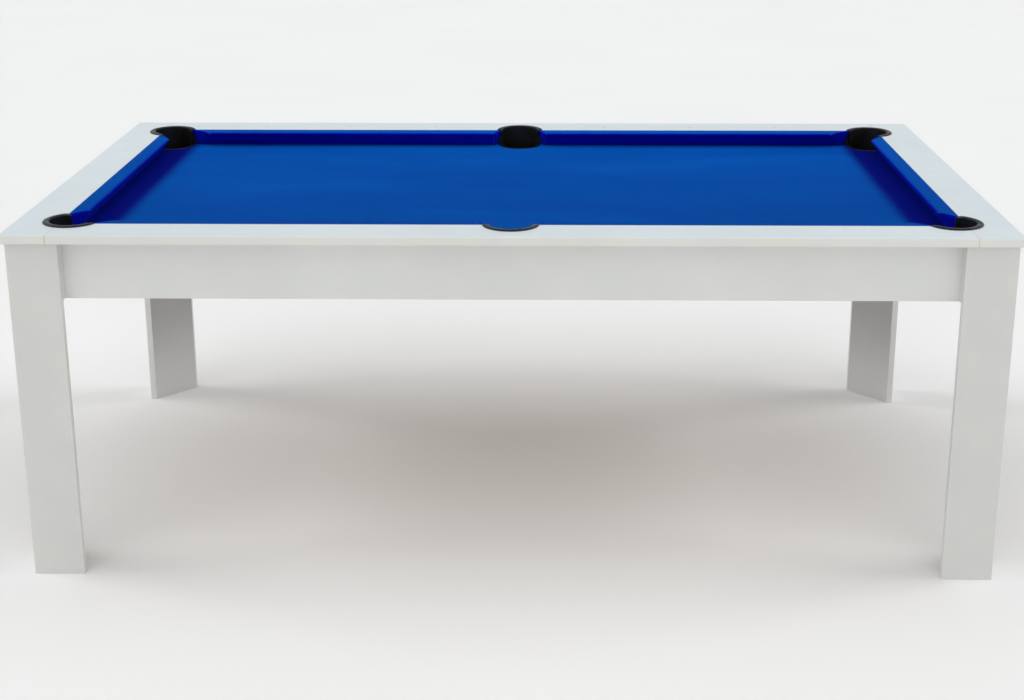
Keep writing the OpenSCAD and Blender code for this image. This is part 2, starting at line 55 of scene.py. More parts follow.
half_l, half_w, rail_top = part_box("right_end_rail")[1]
cloth_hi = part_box("bed_cloth")[1]
cloth_top = cloth_hi.z
cloth_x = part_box("cushion_right")[1].x
cloth_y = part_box("cushion_back_right")[1].y
nose_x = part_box("cushion_right")[0].x
nose_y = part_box("cushion_back_right")[0].y
cushion_d = cloth_x - nose_x
rim_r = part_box("pocket_side_back")[1].x
corner_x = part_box("pocket_back_right")[1].x - rim_r
corner_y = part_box("pocket_back_right")[1].y - rim_r
side_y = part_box("pocket_side_back")[1].y - rim_r
bed_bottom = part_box("bed_board")[0].z
ledge_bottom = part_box("bed_ledges")[0].z
inner_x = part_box("bed_ledges")[1].x
inner_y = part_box("bed_ledges")[1].y
apron_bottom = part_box("apron_front")[0].z

# ---- Sizes shared with the CAD source ----

shell_r = 0.050
cut_r = 0.0503
collar_hole_r = 0.0551
corner_mouth = 0.118
side_mouth = 0.131
facing_lean = math.radians(12)
nose_h = 0.0356
corner_setback = corner_mouth / math.sqrt(2)
corner_dip = cloth_x - corner_x
corner_back = corner_dip + math.sqrt(cut_r ** 2 - corner_dip ** 2)
side_back = math.sqrt(cut_r ** 2 - (cloth_y - side_y) ** 2)

QUARTERS = [(sx, sy) for sx in (-1, 1) for sy in (-1, 1)]


def corner_name(sx, sy):
    """The name that the nodes of one quarter of the table share."""
    return f"{'back' if sy > 0 else 'front'}_{'right' if sx > 0 else 'left'}"


# ---- Mesh helpers ----

def piece(name, verts, faces, body, material, slot):
    """A new smooth-shaded mesh piece in the table's frame, riding on a body."""
    mesh = bpy.data.meshes.new(name)
    mesh.from_pydata([tuple(v) for v in verts], [], faces)
    mesh.validate()
    mesh.update()
    obj = bpy.data.objects.new(name, mesh)
    bpy.context.scene.collection.objects.link(obj)
    mesh.materials.append(material)
    for polygon in mesh.polygons:
        polygon.use_smooth = True
    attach(obj, body)
    return obj


def outward(obj):
    """Merges doubled vertices and turns all faces of a closed mesh outwards."""
    bm = bmesh.new()
    bm.from_mesh(obj.data)
    bmesh.ops.remove_doubles(bm, verts=bm.verts, dist=1e-6)
    bmesh.ops.recalc_face_normals(bm, faces=bm.faces)
    bm.to_mesh(obj.data)
    bm.free()
    obj.data.update()
    return obj


def sharp_by_angle(obj, degrees):
    """Marks edges sharp where faces meet at more than an angle."""
    obj.data.set_sharp_from_angle(angle=math.radians(degrees))


def tube_faces(rings, count):
    """Quads between consecutive closed rings of count points each."""
    faces = []
    for r in range(rings - 1):
        for i in range(count):
            j = (i + 1) % count
            faces.append((r * count + i, r * count + j, (r + 1) * count + j, (r + 1) * count + i))
    return faces


def circle(radius, z, count):
    """Points of a level circle round Z."""
    turns = [2 * math.pi * i / count for i in range(count)]
    return [Vector((radius * math.cos(a), radius * math.sin(a), z)) for a in turns]


def revolve(profile, count):
    """Vertices and faces of (radius, height) points turned about Z; a zero radius closes the end."""
    verts = []
    faces = []
    rows = []
    for r, z in profile:
        if r < 1e-7:
            rows.append([len(verts)])
            verts.append(Vector((0, 0, z)))
        else:
            rows.append(list(range(len(verts), len(verts) + count)))
            verts.extend(circle(r, z, count))
    for low, high in zip(rows, rows[1:]):
        for i in range(count):
            j = (i + 1) % count
            corners = [low[i % len(low)], low[j % len(low)], high[j % len(high)], high[i % len(high)]]
            face = [v for k, v in enumerate(corners) if v != corners[k - 1]]
            if len(face) > 2:
                faces.append(tuple(face))
    return verts, faces


def joined(parts):
    """One vertex and face list from several (vertices, faces) pairs."""
    verts = []
    faces = []
    for part_verts, part_faces in parts:
        start = len(verts)
        verts.extend(part_verts)
        faces.extend(tuple(start + i for i in face) for face in part_faces)
    return verts, faces


def placed(part, matrix):
    """A (vertices, faces) pair moved by a matrix."""
    verts, faces = part
    return [matrix @ v for v in verts], faces


def shifted(part, x, y, z):
    """A (vertices, faces) pair with its origin moved to a point."""
    return placed(part, Matrix.Translation((x, y, z)))


# ---- Node material helpers ----

class Finish:
    """A Principled material with short ways to add texture nodes."""

    def __init__(self, name, roughness=0.5, metallic=0.0, **sockets):
        self.material = bpy.data.materials.new(name)
        self.material.use_nodes = True
        self.tree = self.material.node_tree
        self.shader = self.tree.nodes["Principled BSDF"]
        self.shader.inputs["Roughness"].default_value = roughness
        self.shader.inputs["Metallic"].default_value = metallic
        for socket, value in sockets.items():
            self.shader.inputs[socket.replace("_", " ")].default_value = value
        self.coords = self.tree.nodes.new("ShaderNodeTexCoord")

    def add(self, kind, **settings):
        """A new shader node with its settings."""
        node = self.tree.nodes.new(kind)
        for key, value in settings.items():
            setattr(node, key, value)
        return node

    def join(self, source, target):
        """Links an output to an input."""
        self.tree.links.new(source, target)

    def place(self, scale=(1, 1, 1)):
        """Object coordinates, stretched along the axes."""
        mapping = self.add("ShaderNodeMapping")
        mapping.inputs["Scale"].default_value = scale
        self.join(self.coords.outputs["Object"], mapping.inputs["Vector"])
        return mapping.outputs["Vector"]

    def noise(self, scale, detail=3.0, stretch=(1, 1, 1), distortion=0.0):
        """Clouds with a scale in features per metre."""
        node = self.add("ShaderNodeTexNoise")
        node.inputs["Scale"].default_value = scale
        node.inputs["Detail"].default_value = detail
        node.inputs["Roughness"].default_value = 0.55
        node.inputs["Distortion"].default_value = distortion
        self.join(self.place(stretch), node.inputs["Vector"])
        return node.outputs["Fac"]

    def wave(self, period, axis="X", distortion=0.0, detail=2.0):
        """Bands of a given period in metres."""
        node = self.add("ShaderNodeTexWave", bands_direction=axis, wave_profile="SIN")
        node.inputs["Scale"].default_value = 2 * math.pi / 20 / period
        node.inputs["Distortion"].default_value = distortion
        node.inputs["Detail"].default_value = detail
        self.join(self.place(), node.inputs["Vector"])
        return node.outputs["Fac"]

    def spread(self, value, low, high, start=0.3, end=0.7, smooth=False):
        """Maps value from start..end to low..high."""
        node = self.add("ShaderNodeMapRange", interpolation_type="SMOOTHSTEP" if smooth else "LINEAR")
        node.inputs["From Min"].default_value = start
        node.inputs["From Max"].default_value = end
        node.inputs["To Min"].default_value = low
        node.inputs["To Max"].default_value = high
        self.join(value, node.inputs["Value"])
        return node.outputs["Result"]

    def ramp(self, value, *stops):
        """A colour ramp of (position, colour) stops."""
        node = self.add("ShaderNodeValToRGB")
        elements = node.color_ramp.elements
        while len(elements) < len(stops):
            elements.new(0.5)
        for element, (position, colour) in zip(elements, stops):
            element.position = position
            element.color = (*colour, 1)
        self.join(value, node.inputs["Fac"])
        return node.outputs["Color"]

    def mix(self, factor, a, b, blend="MIX"):
        """Mixes two colours; each is a socket or a colour."""
        node = self.add("ShaderNodeMix", data_type="RGBA", blend_type=blend)
        for socket, value in ((node.inputs[0], factor), (node.inputs[6], a), (node.inputs[7], b)):
            if isinstance(value, bpy.types.NodeSocket):
                self.join(value, socket)
            elif isinstance(value, (int, float)):
                socket.default_value = value
            else:
                socket.default_value = (*value, 1)
        return node.outputs[2]

    def maths(self, operation, a, b=0.0):
        """A sum or other function of sockets or numbers."""
        node = self.add("ShaderNodeMath", operation=operation)
        for socket, value in zip(node.inputs, (a, b)):
            if isinstance(value, bpy.types.NodeSocket):
                self.join(value, socket)
            else:
                socket.default_value = value
        return node.outputs[0]

    def part(self, output, index):
        """One component of a vector output."""
        node = self.add("ShaderNodeSeparateXYZ")
        self.join(output, node.inputs[0])
        return node.outputs[index]

    def facing_up(self, low, high):
        """0 where the surface normal's height is under low, 1 where it is over high."""
        return self.spread(self.part(self.coords.outputs["Normal"], 2), 0.0, 1.0, low, high, smooth=True)

    def colour(self, output):
        """Uses an output as the base colour."""
        self.join(output, self.shader.inputs["Base Color"])

    def rough(self, output):
        """Uses an output as the roughness."""
        self.join(output, self.shader.inputs["Roughness"])

    def bump(self, *layers):
        """Adds bump layers of (height output, strength, distance in metres) and gives the material."""
        normal = None
        for height, strength, distance in layers:
            node = self.add("ShaderNodeBump")
            node.inputs["Strength"].default_value = strength
            node.inputs["Distance"].default_value = distance
            self.join(height, node.inputs["Height"])
            if normal is not None:
                self.join(normal, node.inputs["Normal"])
            normal = node.outputs["Normal"]
        self.join(normal, self.shader.inputs["Normal"])
        return self.material


# ---- Materials ----

def laminate(name, face, edge, low_edge=None):
    """White laminated board: satin film with a fine pearl texture; face is its top, edge its upright sides.

    Where low_edge is given, upright sides have that colour at the floor and change to edge above it; for the
    inner leg panels the darker colour above is painted shade.
    """
    m = Finish(name, IOR=1.48, Coat_Weight=0.12, Coat_Roughness=0.3)
    # Painted shade: upright sides darken from the pale low_edge at the floor to edge higher up.
    if low_edge is not None:
        change_start, change_end = 0.02, 0.28
        height = m.part(m.coords.outputs["Object"], 2)
        edge = m.mix(m.spread(height, 0.0, 1.0, change_start, change_end, smooth=True), low_edge, edge)
    film = m.mix(m.facing_up(0.5, 0.95), edge, face)
    tone = m.spread(m.noise(3.5, 4.0), 0.965, 1.02)
    cast = m.ramp(m.noise(14, 5.0), (0.35, (0.985, 0.99, 1.0)), (0.7, (1.0, 0.998, 0.99)))
    m.colour(m.mix(1.0, m.mix(1.0, film, cast, "MULTIPLY"), tone, "MULTIPLY"))
    smudges = m.spread(m.noise(9, 6.0, distortion=0.6), 0.0, 0.08)
    rubbed = m.spread(m.noise(160, 2.0, (0.15, 1, 1)), 0.34, 0.42)
    m.rough(m.maths("ADD", smudges, rubbed))
    return m.bump((m.noise(1400, 2.0), 0.12, 0.00006), (m.noise(220, 3.0), 0.10, 0.00010))


def billiard_cloth(name, along, painted_end_shadows=False):
    """Napped blue cloth: fine twill weave, fibres laid along X or Y, streaks where it is brushed.

    It is navy where a face looks sideways or down, a painted shade. An option adds a deeper navy beside the
    end cushions, a painted shadow, and the lit blue is painted lighter towards the back of the table.
    """
    m = Finish(name, IOR=1.35, Specular_IOR_Level=0.03, Sheen_Weight=0.12, Sheen_Roughness=0.42)
    m.shader.inputs["Sheen Tint"].default_value = (0.0, 0.08, 0.60, 1)
    lay = (0.35, 1, 1) if along == "X" else (1, 0.35, 1)
    streak = m.noise(2.2, 5.0, (0.7, 2.0, 1) if along == "X" else (2.0, 0.7, 1), 0.7)
    lit = m.ramp(streak, (0.3, (0.0006, 0.060, 0.34)), (0.55, (0.0006, 0.074, 0.38)),
                 (0.75, (0.0006, 0.088, 0.41)))
    # Painted light: the lit blue grows lighter towards the back of the table.
    painted_light_to_back = m.spread(m.part(m.coords.outputs["Object"], 1), 0.90, 1.16, -nose_y, nose_y)
    lit = m.mix(1.0, lit, painted_light_to_back, "MULTIPLY")
    navy = m.ramp(streak, (0.3, (0.0014, 0.0032, 0.33)), (0.7, (0.0014, 0.0070, 0.42)))
    # Painted shade: faces that look sideways or down take the navy colour instead of the lit blue.
    tone = m.mix(m.facing_up(0.80, 1.0), navy, lit)
    if painted_end_shadows:
        # Painted shadow: beside the end cushions the bed cloth turns a deeper navy.
        band_start, band_end = nose_x - 0.074, nose_x - 0.034
        from_middle = m.maths("ABSOLUTE", m.part(m.coords.outputs["Object"], 0))
        beside = m.spread(from_middle, 0.0, 1.0, band_start, band_end, smooth=True)
        tone = m.mix(beside, tone, (0.0012, 0.0022, 0.185))
    fibres = m.noise(1500, 3.0, lay, 0.3)
    m.colour(m.mix(1.0, tone, m.spread(fibres, 0.80, 1.18), "MULTIPLY"))
    m.rough(m.spread(fibres, 0.84, 0.98))
    across = "Y" if along == "X" else "X"
    weave = m.maths("ADD", m.wave(0.0011, "DIAGONAL", 1.5), m.wave(0.0014, across, 2.0))
    return m.bump((weave, 0.35, 0.00025), (fibres, 0.55, 0.00035))


def fold_highlight_cloth(name):
    """The paler fold of the cloth beside a cushion's end, a painted highlight along the fold."""
    m = Finish(name, Specular_IOR_Level=0.1)
    fibres = m.noise(1500, 3.0)
    m.colour(m.ramp(fibres, (0.3, (0.001, 0.075, 0.42)), (0.7, (0.004, 0.13, 0.58))))
    m.rough(m.spread(fibres, 0.80, 0.95))
    return m.bump((fibres, 0.5, 0.00035))


def moulded_black(name, low_rough, high_rough, tint):
    """Black moulded plastic with a fine spark-eroded texture and faint scuffs."""
    m = Finish(name, IOR=1.49, Specular_IOR_Level=0.35)
    m.colour(m.ramp(m.noise(40, 4.0), (0.3, tint), (0.75, tuple(c * 1.5 for c in tint))))
    scuffs = m.spread(m.noise(120, 5.0, (1, 0.12, 1), 0.8), 0.0, 0.12, 0.5, 0.75)
    m.rough(m.maths("ADD", m.spread(m.noise(30, 3.0), low_rough, high_rough), scuffs))
    return m.bump((m.noise(1800, 2.0), 0.25, 0.00010), (m.noise(300, 3.0), 0.12, 0.00012))


def pearl(name):
    """Polished pearl-white button: cloudy layers under a clear coat."""
    m = Finish(name, IOR=1.53, Coat_Weight=0.35, Coat_Roughness=0.06)
    clouds = m.noise(260, 4.0, (1, 1.6, 1), 2.2)
    m.colour(m.ramp(clouds, (0.25, (0.88, 0.90, 0.91)), (0.5, (0.96, 0.96, 0.94)), (0.75, (0.99, 0.98, 1.0))))
    m.rough(m.spread(clouds, 0.18, 0.30))
    return m.bump((clouds, 0.10, 0.00008))


def plated_metal(name, dark, light, low_rough, high_rough):
    """Plated or turned metal with faint tarnish clouds and fine lines."""
    m = Finish(name, metallic=1.0)
    m.colour(m.ramp(m.noise(180, 4.0, distortion=0.8), (0.3, dark), (0.7, light)))
    lines = m.noise(900, 2.0, (1, 1, 0.1))
    m.rough(m.spread(lines, low_rough, high_rough))
    return m.bump((lines, 0.15, 0.00005))


def fibreboard(name):
    """Bare fibreboard: pressed fibres and darker flecks."""
    m = Finish(name)
    mats = m.noise(500, 6.0, (1, 1, 0.5), 0.4)
    blotch = m.spread(m.noise(7, 4.0), 0.88, 1.08)
    base = m.ramp(mats, (0.25, (0.27, 0.175, 0.10)), (0.55, (0.44, 0.31, 0.19)), (0.8, (0.56, 0.42, 0.27)))
    m.colour(m.mix(1.0, base, blotch, "MULTIPLY"))
    m.rough(m.spread(mats, 0.78, 0.95))
    return m.bump((mats, 0.5, 0.0003))


def softwood(name, axis):
    """Planed softwood with its grain along X or Y."""
    m = Finish(name)
    lay = (0.06, 1, 1) if axis == "X" else (1, 0.06, 1)
    rings = m.noise(38, 5.0, lay, 1.6)
    pores = m.noise(700, 3.0, lay)
    base = m.ramp(rings, (0.3, (0.50, 0.34, 0.19)), (0.5, (0.66, 0.49, 0.30)), (0.62, (0.58, 0.40, 0.23)),
                  (0.75, (0.70, 0.54, 0.35)))
    m.colour(m.mix(1.0, base, m.spread(pores, 0.88, 1.06), "MULTIPLY"))
    m.rough(m.spread(pores, 0.6, 0.8))
    return m.bump((rings, 0.25, 0.0003), (pores, 0.35, 0.0002))


# Rail: the bluish top is a painted reflection of a cool sky; the upright sides keep a warm white.
white_rail = laminate("rail_laminate", (0.725, 0.800, 0.835), (0.80, 0.80, 0.755))
white_board = laminate("cabinet_laminate", (0.70, 0.70, 0.68), (0.71, 0.71, 0.685))
# Aprons: paler than the cabinet boards, painted light that cancels the shade under the rail's overhang.
painted_light_apron = laminate("apron_laminate_painted_light", (0.79, 0.79, 0.78), (0.79, 0.795, 0.775))
# Leg side boards: their upright faces are paler, painted light on their front-facing edges.
painted_light_leg_side = laminate("leg_side_laminate_painted_light", (0.70, 0.70, 0.68), (0.80, 0.80, 0.78))
# Inner leg panels: greyer than the other boards and darker towards the top, painted shade from under the
# table.
shaded_inner_leg = laminate("inner_leg_painted_shade", (0.55, 0.555, 0.56), (0.45, 0.455, 0.46), (0.68, 0.685, 0.69))
cloth_bed = billiard_cloth("cloth_bed", "X", painted_end_shadows=True)
cloth_long = billiard_cloth("cloth_lengthwise", "X")
cloth_cross = billiard_cloth("cloth_crosswise", "Y")
cloth_fold_highlight = fold_highlight_cloth("cloth_fold_highlight")
black_pocket = moulded_black("pocket_plastic", 0.30, 0.42, (0.0040, 0.0042, 0.0046))
black_foot = moulded_black("foot_plastic", 0.45, 0.6, (0.02, 0.02, 0.02))
pearl_white = pearl("sight_pearl")
zinc = plated_metal("zinc_steel", (0.50, 0.51, 0.53), (0.68, 0.68, 0.66), 0.26, 0.42)
brass = plated_metal("insert_brass", (0.60, 0.42, 0.18), (0.80, 0.62, 0.32), 0.22, 0.36)
board_core = fibreboard("fibreboard")
wood_x = softwood("softwood_lengthwise", "X")
wood_y = softwood("softwood_crosswise", "Y")


def finish_cad_nodes():
    """Gives every CAD node its procedural material: by its kind, by its name, or else by its slot."""
    by_kind = {"apron_": painted_light_apron, "_leg_inner_panel": shaded_inner_leg, "_leg_side": painted_light_leg_side}
    by_node = {"rail_dowels": wood_x, "bed_ledges": wood_x, "cross_beams": wood_y, "subrail_left": wood_y,
               "subrail_right": wood_y, "subrail_front": wood_x, "subrail_back": wood_x,
               "angle_brackets": zinc, "foot_inserts": brass}
    by_slot = {"rail_laminate": white_rail, "cabinet_laminate": white_board, "core_board": board_core,
               "cloth": cloth_long, "pocket_plastic": black_pocket, "sight_pearl": pearl_white,
               "zinc_steel": zinc, "insert_brass": brass, "foot_plastic": black_foot}
    for row in frame["record"]["subparts"]:
        name = row["node"]
        material = by_node.get(name, by_slot[row["material_slot"]])
        for kind, finish in by_kind.items():
            if kind in name:
                material = finish
        mesh = frame["nodes"][name].data
        mesh.materials.clear()
        mesh.materials.append(material)


finish_cad_nodes()


# ---- Cushions ----

def arc_points(cx, cy, r, a0, a1, count):
    """Points of an arc from a0 to a1 degrees."""
    angles = [math.radians(a0 + (a1 - a0) * i / count) for i in range(count + 1)]
    return [(cx + r * math.cos(a), cy + r * math.sin(a)) for a in angles]


def cushion_section():
    """Cloth-wrapped section as (distance behind the nose line, height above the bed cloth).

    It runs forward over the crown, down the nose and the hollow face, and back up behind to the tuck.
    """
    top_z = 0.0388
    brow_d = 0.015
    nose_z = nose_h - 0.0016
    nose_r = 0.003
    hollow_d = 0.0016
    back_d = cushion_d - 0.0002
    tuck_z = rail_top - cloth_top - 0.0006
    crown = [(cushion_d + (brow_d - cushion_d) * i / 6, top_z) for i in range(1, 6)]
    brow = [(brow_d * (1 - math.sin(math.radians(a))), nose_z + (top_z - nose_z) * math.cos(math.radians(a)))
            for a in range(0, 90, 9)]
    nose = arc_points(nose_r, nose_z, nose_r, 180, 205, 3)
    face_top = nose[-1]
    foot = (0.0228, 0.0012)
    face = []
    for i in range(1, 10):
        t = i / 10
        hollow = hollow_d * math.sin(math.pi * t)
        face.append((face_top[0] + (foot[0] - face_top[0]) * t + hollow,
                     face_top[1] + (foot[1] - face_top[1]) * t + hollow * 0.6))
    base = [foot, (0.0245, 0.0004), (0.029, 0.0003), (back_d, 0.0003)]
    back = [(back_d, tuck_z * i / 4) for i in range(1, 5)]
    tuck = [(cushion_d - 0.0006, tuck_z + 0.0003), (cushion_d - 0.0020, top_z)]
    return crown + brow + nose + face + base + back + tuck


def drawn_in(section, centre, amount):
    """The section with every point moved towards a centre, or away from it by a negative amount."""
    moved = []
    for d, z in section:
        reach = math.hypot(d - centre[0], z - centre[1])
        share = (reach - amount) / reach
        moved.append((centre[0] + (d - centre[0]) * share, centre[1] + (z - centre[1]) * share))
    return moved


def facing_shift(nose_end, rail_end, d, z):
    """Where a cushion's end lies along the nose line at depth d, and how far it leans back at height z."""
    slope = (rail_end - nose_end) / cushion_d
    back = (nose_h - z) * math.tan(facing_lean) * math.sqrt(1 + slope * slope)
    return nose_end + slope * d, back


def cushion(name, low_end, high_end, to_frame, flip, material, seed):
    """A cushion between two leaning ends, each (nose position, rail position) along the nose line.

    to_frame turns (along, depth, height) into a point, flip says that it mirrors the faces, and seed varies
    the cloth's ripples. Each row of the mesh is (end or middle, distance or share, ring of section points).
    """
    section = cushion_section()
    count = len(section)
    centre = (0.0235, 0.0235)
    edge_r = 0.0045
    fold_h = 0.0010
    fold_start, fold_end, fold_foot = edge_r + 0.0006, edge_r + 0.0014, edge_r + 0.0022
    free_d, free_z = cushion_d - 0.003, 0.002
    face_d = 0.03
    row_pitch = 0.012
    pull_pitch = 0.045
    ripple_h = 0.00022
    pull_h = 0.00016

    rounding = []
    for a in range(0, 91, 15):
        turn = math.radians(a)
        ring = drawn_in(section, centre, edge_r * (1 - math.sin(turn)))
        rounding.append((edge_r * (1 - math.cos(turn)), ring))
    raised = [fold if d < free_d and z > free_z else (d, z)
              for (d, z), fold in zip(section, drawn_in(section, centre, -fold_h))]
    rounding += [(fold_start, raised), (fold_end, raised), (fold_foot, section)]
    flat_end = rounding[0][1]
    cap = [[(centre[0] + (d - centre[0]) * k, centre[1] + (z - centre[1]) * k) for d, z in flat_end]
           for k in (0.8, 0.6, 0.4, 0.2)]
    spans = max(8, round((high_end[0] - low_end[0]) / row_pitch))
    rows = [("low", 0.0, ring) for ring in reversed(cap)]
    rows += [("low", depth, ring) for depth, ring in rounding]
    rows += [("mid", i / spans, section) for i in range(1, spans)]
    rows += [("high", depth, ring) for depth, ring in reversed(rounding)]
    rows += [("high", 0.0, ring) for ring in cap]

    def position(kind, amount, d, z):
        """Where a row's point lies along the nose line."""
        start, start_back = facing_shift(*low_end, d, z)
        end, end_back = facing_shift(*high_end, d, z)
        start += start_back
        end -= end_back
        if kind == "low":
            return start + amount
        if kind == "high":
            return end - amount
        return start + edge_r + (end - start - 2 * edge_r) * amount

    verts = []
    for kind, amount, ring in rows:
        for d, z in ring:
            s = position(kind, amount, d, z)
            ripple = noise.noise(Vector((s * 26, d * 60, seed))) * ripple_h
            pulls = pull_h * math.cos(2 * math.pi * s / pull_pitch) * max(0.0, d / cushion_d - 0.5)
            lift = (ripple + pulls) if z > nose_h else 0.0
            push = ripple * 1.4 if free_z < z <= nose_h and d < face_d else 0.0
            verts.append(to_frame(s, d + push, cloth_top + z + lift))
    faces = tube_faces(len(rows), count)
    # A fan of triangles closes each end.
    for ring_start, order in ((0, 1), ((len(rows) - 1) * count, -1)):
        middle = len(verts)
        members = verts[ring_start:ring_start + count]
        verts.append(sum(members, Vector()) / count)
        for i in range(count):
            j = (i + 1) % count
            pair = (ring_start + i, ring_start + j)
            faces.append((middle, *(pair[::-1] if order > 0 else pair)))
    if flip:
        faces = [face[::-1] for face in faces]
    obj = piece(name + "_wrapped", verts, faces, "table", material, "cloth")
    # The raised rings near the ends show the paler fold, a painted highlight.
    obj.data.materials.append(cloth_fold_highlight)
    for r, (upper, lower) in enumerate(zip(rows, rows[1:])):
        if upper[2] is raised and lower[2] is raised:
            for i in range(count):
                on_fold = raised[i] != section[i] and raised[(i + 1) % count] != section[(i + 1) % count]
                obj.data.polygons[r * count + i].material_index = int(on_fold)
    outward(obj)
    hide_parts(name)


def make_cushions():
    """The four cushions along the table and then the two across its ends."""
    side_end = (side_mouth / 2, side_back)
    long_end = (nose_x - corner_setback, cloth_x - corner_back)
    for number, (sx, sy) in enumerate(QUARTERS):

        def long_frame(s, d, z):
            return Vector((sx * s, sy * (nose_y + d), z))

        cushion("cushion_" + corner_name(sx, sy), side_end, long_end, long_frame, sx * sy < 0, cloth_long,
                3.1 + number)
    end = (nose_y - corner_setback, cloth_y - corner_back)
    start = (-end[0], -end[1])
    for number, sx in enumerate((-1, 1)):

        def end_frame(s, d, z):
            return Vector((sx * (nose_x + d), s, z))

        cushion("cushion_right" if sx > 0 else "cushion_left", start, end, end_frame, sx > 0, cloth_cross,
                9.7 + number)


make_cushions()


# ---- Bed cloth ----

def pocket_centres():
    """The middles of the four corner pockets and then of the two side pockets."""
    corners = [Vector((sx * corner_x, sy * corner_y)) for sx, sy in QUARTERS]
    return corners + [Vector((0, s * side_y)) for s in (-1, 1)]


def tidy_sheet(obj):
    """Removes loose vertices and turns every face up."""
    bm = bmesh.new()
    bm.from_mesh(obj.data)
    loose = [v for v in bm.verts if not v.link_faces]
    bmesh.ops.delete(bm, geom=loose, context="VERTS")
    for face in bm.faces:
        face.normal_update()
        if face.normal.z < 0:
            face.normal_flip()
    bm.to_mesh(obj.data)
    bm.free()


def make_bed_cloth():
    """One stretched sheet with its pocket holes, slightly rolled down at their edges."""
    x, y = cloth_hi.x, cloth_hi.y
    thickness = 0.0009
    centres = pocket_centres()
    pitch = 0.016
    around = 64
    notch_steps = 48
    roll_rings = (0.0006, 0.0014, 0.003)
    roll_w = roll_rings[-1]
    roll_drop = 0.0007
    clearance = 0.003
    edge_gap = 0.001
    slack = 0.0002
    turns = [2 * math.pi * i / around for i in range(around)]
    points = []
    edges = []

    def loop(members):
        first = len(points)
        points.extend(members)
        edges.extend((first + i, first + (i + 1) % len(members)) for i in range(len(members)))

    reach = math.acos((y - side_y) / collar_hole_r)
    outline = [Vector((-x, -y))]
    notch = []
    for i in range(notch_steps + 1):
        a = -math.pi / 2 - reach - (2 * math.pi - 2 * reach) * i / notch_steps
        notch.append(Vector((collar_hole_r * math.cos(a), -side_y + collar_hole_r * math.sin(a))))
    outline += notch
    outline += [Vector((x, -y)), Vector((x, y))]
    outline += [Vector((-p.x, -p.y)) for p in notch]
    outline += [Vector((-x, y))]
    loop(outline)
    for centre in centres[:4]:
        loop([centre + collar_hole_r * Vector((math.cos(a), math.sin(a))) for a in turns])
    for centre in centres:
        for extra in roll_rings:
            ring = [centre + (collar_hole_r + extra) * Vector((math.cos(a), math.sin(a))) for a in turns]
            points.extend(p for p in ring if abs(p.y) < y - edge_gap)
    nx, ny = round(2 * x / pitch), round(2 * y / pitch)
    for i in range(1, nx):
        for j in range(1, ny):
            p = Vector((-x + 2 * x * i / nx, -y + 2 * y * j / ny))
            if all((p - c).length > collar_hole_r + roll_w + clearance for c in centres):
                points.append(p)
    flat, _, faces, *_ = geometry.delaunay_2d_cdt(points, edges, [], 0, 1e-7)

    def kept(face):
        middle = sum((flat[i] for i in face), Vector((0, 0))) / len(face)
        return abs(middle.x) < x and abs(middle.y) < y and all(
            (middle - c).length > collar_hole_r - slack for c in centres)

    def height(p):
        near = min((p - c).length for c in centres) - collar_hole_r
        return cloth_top - roll_drop * max(0.0, 1 - near / roll_w) ** 2

    verts = [Vector((p.x, p.y, height(p))) for p in flat]
    obj = piece("bed_cloth_stretched", verts, [f for f in faces if kept(f)], "table", cloth_bed, "cloth")
    tidy_sheet(obj)
    solid = obj.modifiers.new("cloth_thickness", "SOLIDIFY")
    solid.thickness = thickness
    solid.offset = -1
    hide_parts("bed_cloth")


make_bed_cloth()


# ---- Sights ----

def make_sights():
    """Pearl buttons let into the rails, each a low dome with a fine groove round it."""
    radius = 0.0048
    sight_inset = 0.058
    dome = [(0.0, rail_top + 0.00035), (0.0016, rail_top + 0.00030), (0.0030, rail_top + 0.00018),
            (0.0039, rail_top + 0.00006), (0.0041, rail_top - 0.00006), (0.0043, rail_top + 0.00004),
            (radius - 0.0001, rail_top + 0.00005), (radius, rail_top - 0.0001), (radius, rail_top - 0.003),
            (0.0, rail_top - 0.003)]
    button = revolve(dome, 28)
    spots = [(sx * i * nose_x / 4, sy * (half_w - sight_inset)) for sx, sy in QUARTERS for i in (1, 2, 3)]
    spots += [(sx * (half_l - sight_inset), i * nose_y / 2) for sx in (-1, 1) for i in (-1, 0, 1)]
    parts = [shifted(button, x, y, 0) for x, y in spots]
    obj = outward(piece("rail_sight_buttons", *joined(parts), "table", pearl_white, "sight_pearl"))
    sharp_by_angle(obj, 30)
    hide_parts("rail_sights")


make_sights()


# ---- Fasteners ----

screw_l = 0.011


def hex_flange_bolt(shank_l):
    """A flange bolt that points up Z, with the underside of its flange at zero."""
    shank = revolve([(0.0, shank_l), (0.0024, shank_l), (0.003, shank_l - 0.0008), (0.003, 0.0), (0.0, 0.0)],
                    16)
    flange = revolve([(0.0, 0.0), (0.0084, 0.0), (0.0085, -0.0006), (0.0070, -0.0014), (0.0, -0.0016)], 32)
    head = []
    for r, z in ((0.0058, -0.0012), (0.0058, -0.0058), (0.0053, -0.0064)):
        head.extend(circle(r, z, 6))
    faces = tube_faces(3, 6) + [tuple(range(5, -1, -1)), tuple(range(12, 18))]
    return joined([shank, flange, (head, faces)])


